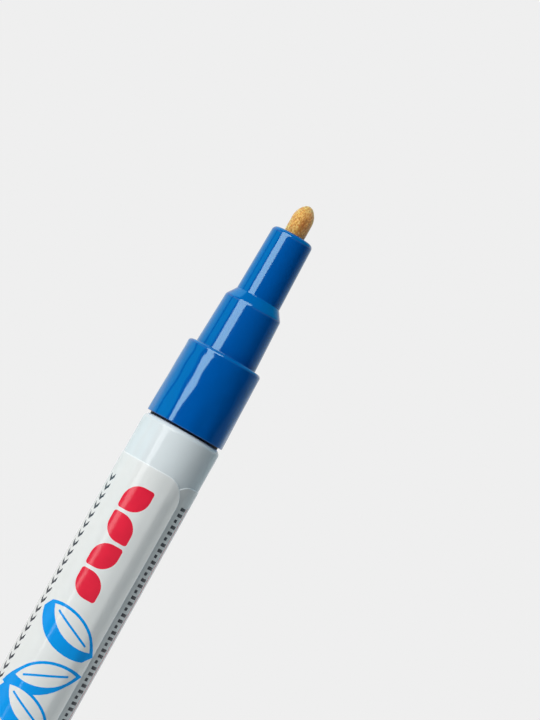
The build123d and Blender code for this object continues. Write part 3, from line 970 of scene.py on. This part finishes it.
def label_mesh():
    """The film as a closed sheet: its printed outer face, its underside and the rim between them."""
    flat, triangles, inks = flat_sheet()
    run, height = flat[:, 0], flat[:, 1]
    outer = wrapped(run, height, film_outside(run, height))
    inner = wrapped(run, height, film_underside(run, height))
    vertices = np.concatenate([outer, inner])
    count = len(flat)
    under = triangles[:, ::-1]
    sides = np.concatenate([triangles[:, [0, 1]], triangles[:, [1, 2]], triangles[:, [2, 0]]])
    owned = {tuple(side) for side in sides.tolist()}
    first, second = np.array(sorted(side for side in owned if side[::-1] not in owned)).T
    rim = np.stack([second, first, first + count, second + count], axis=1)
    faces = triangles.tolist() + (under + count).tolist() + rim.tolist()
    piece = new_piece("label_sheet", vertices, faces, sharp_angle=None)
    indices = np.concatenate([inks, np.full(len(under) + len(rim), FILM)]).astype(np.int32)
    piece.data.polygons.foreach_set("material_index", indices)

    normals, out = film_normals(run, height)
    corner, along, across = (vertices[rim[:, index]] for index in (0, 1, 3))
    rim_normals = np.cross(along - corner, across - corner)
    rim_normals /= np.linalg.norm(rim_normals, axis=1)[:, None]
    loop_normals = [normals[triangles.ravel()], -out[under.ravel()], np.repeat(rim_normals, 4, axis=0)]
    piece.data.normals_split_custom_set(np.concatenate(loop_normals).tolist())
    return piece


label_sheet = label_mesh()
dress(label_sheet, "marker", "barrel_label", "label_film", film, film_edge_highlight, red_ink, blue_ink, dark_ink)

# Solids that stay as they are, with their finishes
for node, material in (
    ("neck_gasket", black_rubber),
    ("flange_gasket", black_rubber),
    ("valve_seat_ring", black_rubber),
    ("valve_housing", natural_plastic),
    ("valve_rod", natural_plastic),
    ("spring_retainer", natural_plastic),
    ("mixing_ball", spring_steel),
):
    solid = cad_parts[node]
    solid.data.materials.clear()
    solid.data.materials.append(material)


# Stage
def stage_object(name, vertices, faces, material):
    """A mesh that belongs to the stage and not to the marker."""
    item = mesh_object(name, vertices, faces)
    item.data.materials.append(material)
    return item


def floor_material():
    """Pale floor with the marker's shadow near by, which fades into the background; clear from below."""
    material = bpy.data.materials.new("floor")
    tree = empty_tree(material)
    place = add(tree, "ShaderNodeTexCoord").outputs["Object"]
    reach = add(tree, "ShaderNodeVectorMath", {0: place}, operation="LENGTH").outputs["Value"]
    fade = stretched(tree, reach, FLOOR_SHADOW_RADIUS * MM, FLOOR_FADE_RADIUS * MM, shape="SMOOTHSTEP")
    to_camera = add(tree, "ShaderNodeLightPath").outputs["Is Camera Ray"]
    matt = add(tree, "ShaderNodeBsdfDiffuse", {"Color": FLOOR_COLOUR}).outputs[0]
    lift = add(tree, "ShaderNodeEmission", {"Color": FLOOR_GLOW, "Strength": to_camera}).outputs[0]
    near = add(tree, "ShaderNodeAddShader", {0: matt, 1: lift}).outputs[0]
    far = add(tree, "ShaderNodeEmission", {"Color": BACKGROUND_COLOUR}).outputs[0]
    faded = maths(tree, "MULTIPLY", fade, to_camera)
    shown = add(tree, "ShaderNodeMixShader", {0: faded, 1: near, 2: far}).outputs[0]
    clear = add(tree, "ShaderNodeBsdfTransparent").outputs[0]
    under = add(tree, "ShaderNodeNewGeometry").outputs["Backfacing"]
    final = add(tree, "ShaderNodeMixShader", {0: under, 1: shown, 2: clear}).outputs[0]
    add(tree, "ShaderNodeOutputMaterial", {"Surface": final})
    return material


def lamp_material():
    """The softbox's even glow."""
    material = bpy.data.materials.new("softbox")
    tree = empty_tree(material)
    glow = add(tree, "ShaderNodeEmission", {"Color": KEY_COLOUR, "Strength": KEY_LEVEL}).outputs[0]
    add(tree, "ShaderNodeOutputMaterial", {"Surface": glow})
    return material


floor_points = [
    (radius * math.cos(turn), radius * math.sin(turn), 0.0)
    for radius in (FLOOR_HOLE_RADIUS, FLOOR_RADIUS)
    for turn in np.linspace(0, 2 * math.pi, FLOOR_STEPS, endpoint=False)
]
floor_faces = [
    (step, step + FLOOR_STEPS, (step + 1) % FLOOR_STEPS + FLOOR_STEPS, (step + 1) % FLOOR_STEPS)
    for step in range(FLOOR_STEPS)
]
stage_object("floor", floor_points, floor_faces, floor_material())

key_points, key_faces = [], []
for row, (elevation, left, right) in enumerate(KEY_ROWS):
    for column, azimuth in enumerate(np.linspace(left, right, KEY_COLUMNS + 1)):
        key_points.append(unit(azimuth, elevation) * KEY_DISTANCE + Vector((0, 0, KEY_CENTRE_Z)))
        if row and column:
            corner = len(key_points) - 1
            below = corner - KEY_COLUMNS - 1
            key_faces.append((corner, corner - 1, below - 1, below))
softbox = stage_object("softbox", key_points, key_faces, lamp_material())
softbox.visible_camera = False


def studio_world():
    """What lights the marker, what is mirrored in it, and the plain background that the camera sees."""
    world = bpy.data.worlds.new("studio")
    bpy.context.scene.world = world
    tree = empty_tree(world)
    direction = add(tree, "ShaderNodeTexCoord").outputs["Generated"]
    axes = add(tree, "ShaderNodeSeparateXYZ", {0: direction}).outputs
    rays = add(tree, "ShaderNodeLightPath").outputs
    azimuth = maths(tree, "ARCTAN2", axes["X"], maths(tree, "MULTIPLY", axes["Y"], -1.0))
    turn = stretched(tree, azimuth, -math.pi, math.pi)

    def room(stops):
        """Colours by azimuth."""
        return ramp(tree, turn, *(((angle + 180) / 360, colour) for angle, colour in stops))

    overhead = stretched(tree, axes["Z"], *CEILING_LIGHT_FADE, shape="SMOOTHSTEP")
    light = blend(tree, overhead, room(ROOM_LIGHT), CEILING_COLOUR)
    raised = stretched(tree, axes["Z"], *CEILING_GLOSS_FADE)
    others = blend(tree, raised, room(ROOM_GLOSS), room(CEILING_GLOSS))
    from_cards = maths(tree, "ABSOLUTE", maths(tree, "SUBTRACT", axes["Z"], CARD_MIDDLE))
    past_cards = stretched(tree, from_cards, *CARD_FADE)
    mirrored = blend(tree, past_cards, room(CARD_GLOSS), others)
    lit = blend(tree, rays["Is Glossy Ray"], light, mirrored)
    straight = maths(tree, "MAXIMUM", rays["Is Camera Ray"], rays["Is Transmission Ray"])
    shown = blend(tree, straight, lit, BACKGROUND_COLOUR)
    backdrop = add(tree, "ShaderNodeBackground", {"Color": shown, "Strength": 1.0}).outputs[0]
    add(tree, "ShaderNodeOutputWorld", {"Surface": backdrop})


studio_world()


# Camera
def photo_camera():
    """The picture's view: along +Y, with the marker's axis leaning to the right."""
    place, aim = Vector(CAMERA_POINT) * MM, Vector(AIM_POINT) * MM
    ahead = (aim - place).normalized()
    right = ahead.cross(Vector((0, 0, 1))).normalized()
    above = right.cross(ahead)
    lean = math.radians(CAMERA_LEAN)
    turned_right = right * math.cos(lean) + above * math.sin(lean)
    turned_up = above * math.cos(lean) - right * math.sin(lean)
    data = bpy.data.cameras.new("photo_camera")
    data.sensor_width = SENSOR_WIDTH
    data.lens = LENS
    data.clip_start, data.clip_end = (length * MM for length in CAMERA_CLIP)
    camera = bpy.data.objects.new("photo_camera", data)
    axes = Matrix((turned_right, turned_up, -ahead)).transposed()
    camera.matrix_world = Matrix.Translation(place) @ axes.to_4x4()
    bpy.context.scene.collection.objects.link(camera)
    bpy.context.scene.camera = camera


photo_camera()
bpy.context.scene.view_settings.view_transform = "Standard"
